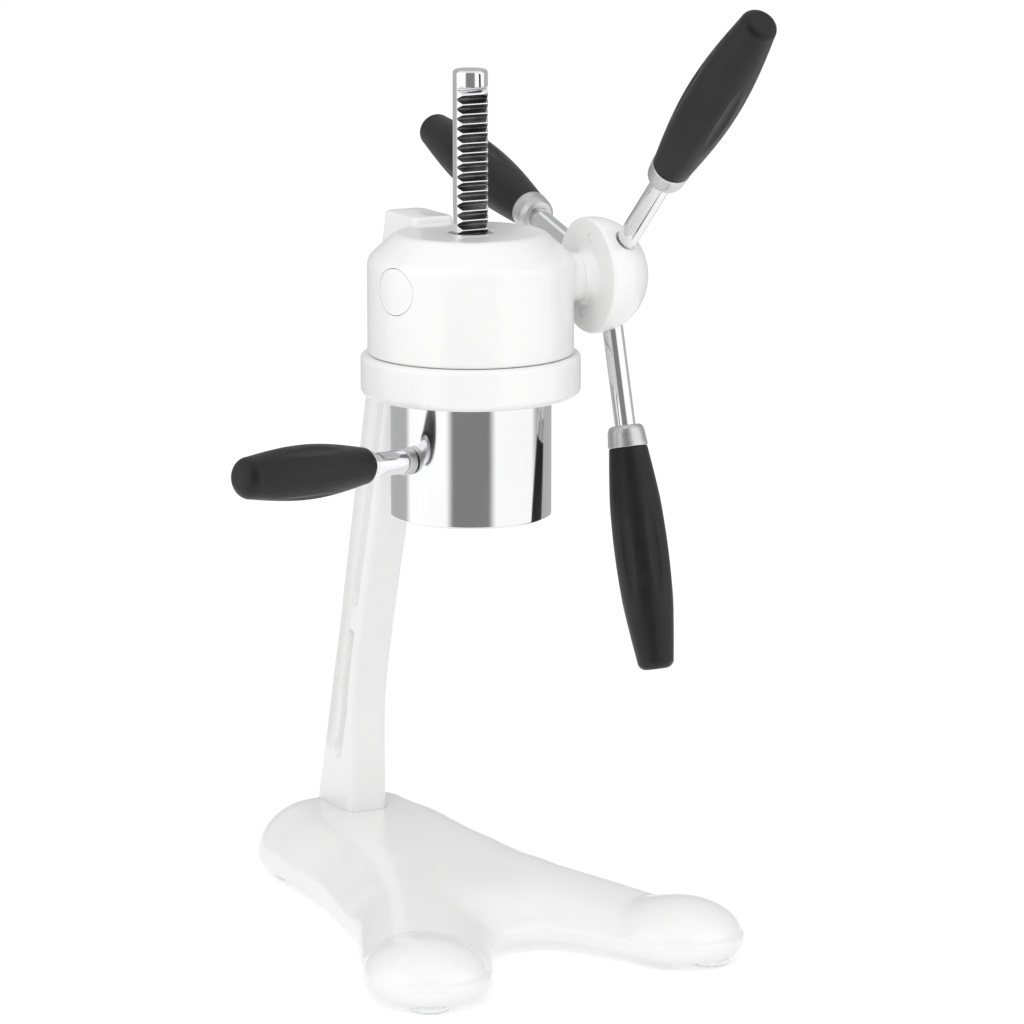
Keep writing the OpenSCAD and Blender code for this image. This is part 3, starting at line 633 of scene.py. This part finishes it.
def grip_shape(length, r0, rm, r1, fm, e0, e1, depth, n=192, crease=0.0):
    """A turned barrel with six lens-shaped flutes."""
    def body(s):
        if s <= fm * length:
            return r0 + (rm - r0) * math.sin(pi / 2 * max(0, (s - e0)) / (fm * length - e0))
        return r1 + (rm - r1) * math.cos(pi / 2 * min(1, (s - fm * length) / (length - e1 - fm * length)))

    prof = [(4.05, 0.0), (r0 - e0, 0.0)]
    prof += [(r0 - e0 + e0 * math.sin(pi / 2 * i / 8), e0 - e0 * math.cos(pi / 2 * i / 8)) for i in range(1, 9)]
    count = 110
    prof += [(body(e0 + (length - e1 - e0) * i / count), e0 + (length - e1 - e0) * i / count) for i in range(1, count + 1)]
    prof += [(r1 - e1 + e1 * math.cos(pi / 2 * i / 16), length - e1 + e1 * math.sin(pi / 2 * i / 16)) for i in range(1, 16)]
    if r1 - e1 > 0.5:
        prof += [(r1 - e1, length)]
    prof += [(0, length), (0, length - 17.2), (4.05, length - 17.2)]
    reach = rm + 9 - depth

    def at(r, z, a):
        if r < 5 or z < e0 + 4 or z > length - e1 - 4:
            return r
        q = r
        b = (a - pi / 6) % (pi / 3)
        b = min(b, pi / 3 - b)
        t = reach * math.sin(b)
        if abs(t) < 9:
            q = float(smin(np.array(r), np.array(reach * math.cos(b) - math.sqrt(81 - t * t)), 0.22))
        return min(r, q)

    return lathe(prof, n, closed=True, radius_at=at)


for k, name in enumerate(("front", "lower", "rear")):
    g = GRIP_START - (5.0 if k == 2 else 0.0)
    fr = arm_frame(k)
    rod_profile = [(0, 9)] + rounded([(0.01, 9), (6, 9), (6, g)], [0, 0.6, 0], 3)[1:] + [(4, g), (4, g + GRIP_LEN - 18), (3.4, g + GRIP_LEN - 17.4), (0, g + GRIP_LEN - 17.4)]
    show("arm_bar_" + name, solid(lathe(rod_profile, 96)), "capstan", CHROME, ["arm_rod_" + name], fr)
    bell = rounded([(6.04, -12.5), (8.0, -12.6), (9.4, -11.9), (10.3, -10.4), (10.8, -8.2), (11.15, -4.4), (11.5, -1.5), (11.5, 0), (6.04, 0)],
                   [0.2, 0.6, 1.2, 1.5, 2.5, 3, 1.0, 0.4, 0], 5, True)
    show("bell_ferrule_" + name, solid(lathe(bell, 128, closed=True)), "capstan", SATIN, ["ferrule_" + name], fr @ T(0, 0, g))
    show("hand_grip_" + name, solid(grip_shape(GRIP_LEN, 11.2, 16, 10.6, 0.47, 1, 5, 1.2)), "capstan", GRIP, ["grip_" + name], fr @ T(0, 0, g), angle=40)

# ---------------------------------------------------------------- cup and its handle
cup = solid(lathe(rounded([(38, 251), (46.2, 251), (46.2, 343), (44.4, 343), (44.4, 253), (38, 253)], [0.3, 0.9, 0.5, 0.5, 0.6, 0.3], 6, True), 256, closed=True))
for a in (90, 210, 330):
    seg = [(46.0 * math.cos(t), 46.0 * math.sin(t)) for t in np.radians(np.linspace(a - 7.5, a + 7.5, 12))]
    seg += [(50.2 * math.cos(t), 50.2 * math.sin(t)) for t in np.radians(np.linspace(a + 7.5, a - 7.5, 12))]
    cup = add(cup, solid(prism(seg, 330.3, 335.6)))


def handle_frame():
    return R("Z", 193) @ T(46.2, 0, 287.6) @ R("Y", 90 - 2.8)


hf = handle_frame()
cup = cut(cup, solid(rod(4.1, -8, 12, 64), hf))
show("steel_cup", cup, "cup_unit", STAINLESS, ["cup"], angle=30)

boss = [(0, -1.55), (4, -1.55), (4, 0.36)] + rounded([(4, 0.36), (7.8, 0.36), (7.8, 5.95), (3, 5.95)], [0, 0.2, 0.6, 0], 5)[1:] + [(3, 2.05), (0, 2.05)]
show("handle_boss", solid(lathe(boss, 96)), "cup_unit", SATIN, ["cup_handle_boss"], hf)
bar = [(0, 2.1), (2.95, 2.1), (2.95, 6)] + rounded([(2.95, 6), (7, 6), (7, 31.2), (4, 31.2)], [0, 0.3, 0.1, 0], 4)[1:] + [(4, 106), (3.4, 106.6), (0, 106.6)]
show("handle_bar", solid(lathe(bar, 96)), "cup_unit", CHROME, ["cup_handle_rod"], hf)
ring = rounded([(7.03, 0), (8.3, 0), (8.3, 1.9), (7.03, 1.9)], [0.1, 0.55, 0.3, 0.1], 5, True)
show("handle_ring", solid(lathe(ring, 96, closed=True)), "cup_unit", CHROME, ["cup_handle_ring"], hf @ T(0, 0, 29.3))
show("side_grip", solid(grip_shape(93, 10.6, 15.5, 12, 0.5, 4, 8, 1.2)), "cup_unit", GRIP, ["cup_grip"], hf @ T(0, 0, 31.3), angle=40)

# ---------------------------------------------------------------- CAD nodes that stay
KEPT = {
    "plain_steel": (STEEL, ["column_bolts", "column_washers", "head_bolts", "collar_screws", "brake_spring", "brake_screw",
                            "pinion_shaft", "pinion_gear", "pinion_key", "shaft_retaining_ring"]),
    "bearing_bronze": (BRONZE, ["rack_guide_bush", "bushing_left", "bushing_right", "brake_pad"]),
    "polished_stainless": (STAINLESS, ["plunger", "plunger_bolt", "strainer"]),
}
for slot, (material, names) in KEPT.items():
    for n in names:
        o = NODES[n]
        if not o.material_slots:
            o.data.materials.append(material)
        for s in o.material_slots:
            s.material = material

# ---------------------------------------------------------------- floor and light
scene = bpy.context.scene
scene.view_settings.view_transform = "Standard"
scene.view_settings.look = "None"
scene.view_settings.exposure = 0.0
scene.view_settings.gamma = 1.0

floor_me = bpy.data.meshes.new("floor")
fn = 96
floor_me.from_pydata([(9 * math.cos(2 * pi * i / fn), 9 * math.sin(2 * pi * i / fn), 0) for i in range(fn)], [], [tuple(range(fn))])
floor = bpy.data.objects.new("floor", floor_me)
scene.collection.objects.link(floor)
fm, fnt, fs = new_material("pale_floor")
fnt.links.new(blend_colour(fnt, noise(fnt, 3, 2), (0.44, 0.44, 0.44), (0.46, 0.46, 0.46)), fs.inputs["Base Color"])
fs.inputs["Roughness"].default_value = 0.8
fs.inputs["Specular IOR Level"].default_value = 0.0
fs.inputs["Emission Color"].default_value = (1, 1, 1, 1)
fs.inputs["Emission Strength"].default_value = 0.60
floor_me.materials.append(fm)

world = bpy.data.worlds.new("studio")
scene.world = world
world.use_nodes = True
wn = world.node_tree
wn.nodes["Background"].inputs["Color"].default_value = (1, 1, 1, 1)
wn.nodes["Background"].inputs["Strength"].default_value = 0.90


def area(name, loc, target, size, power, size_y=None):
    d = bpy.data.lights.new(name, "AREA")
    d.shape = "RECTANGLE"
    d.size, d.size_y = size, size_y or size
    d.energy = power
    o = bpy.data.objects.new(name, d)
    o.location = loc
    o.rotation_mode = "QUATERNION"
    o.rotation_quaternion = (Vector(target) - Vector(loc)).to_track_quat("-Z", "Y")
    scene.collection.objects.link(o)
    o.visible_glossy = False
    return o


area("key", (-1.72, -1.82, 2.5), (0, 0, 0.25), 1.6, 36)
area("fill", (1.9, -1.7, 1.5), (0, 0, 0.25), 1.2, 6)

VIEW_AZ = math.degrees(math.atan2(-2.3758, -1.2819))


# two broad soft boxes, left and right of the camera, between plain grey studio walls
STOPS = [(-180, 0.5), (-105, 0.5), (-95, 1.2), (-35, 1.2), (-25, 0.25), (25, 0.25), (35, 1.2), (95, 1.2), (105, 0.5), (180, 0.5)]


def reflection_wall(radius, z0, z1):
    """A plain ring with the two soft boxes, which only shows in reflections."""
    n = 180
    me = bpy.data.meshes.new("reflection_wall")
    vs = [(radius * math.cos(2 * pi * i / n), radius * math.sin(2 * pi * i / n), z) for z in (z0, z1) for i in range(n)]
    me.from_pydata(vs, [], [(i, (i + 1) % n, n + (i + 1) % n, n + i) for i in range(n)])
    m = bpy.data.materials.new("reflection_wall")
    m.use_nodes = True
    nt = m.node_tree
    nt.nodes.clear()
    out = nt.nodes.new("ShaderNodeOutputMaterial")
    em = nt.nodes.new("ShaderNodeEmission")
    g = nt.nodes.new("ShaderNodeTexGradient")
    g.gradient_type = "RADIAL"
    nt.links.new(coords(nt), g.inputs["Vector"])
    ramp = nt.nodes.new("ShaderNodeValToRGB")
    e = ramp.color_ramp.elements
    while len(e) > 1:
        e.remove(e[-1])
    for k, (a, v) in enumerate(STOPS):
        q = e[0] if k == 0 else e.new(a / 360 + 0.5)
        q.position = a / 360 + 0.5
        q.color = (v, v, v, 1)
    nt.links.new(g.outputs["Fac"], ramp.inputs["Fac"])
    nt.links.new(ramp.outputs["Color"], em.inputs["Color"])
    nt.links.new(em.outputs[0], out.inputs["Surface"])
    me.materials.append(m)
    o = bpy.data.objects.new("reflection_wall", me)
    o.rotation_euler = (0, 0, math.radians(VIEW_AZ))
    scene.collection.objects.link(o)
    o.visible_camera = False
    o.visible_diffuse = False
    o.visible_shadow = False
    o.visible_transmission = False
    o.visible_volume_scatter = False
    return o


reflection_wall(0.95, 0.0, 1.5)
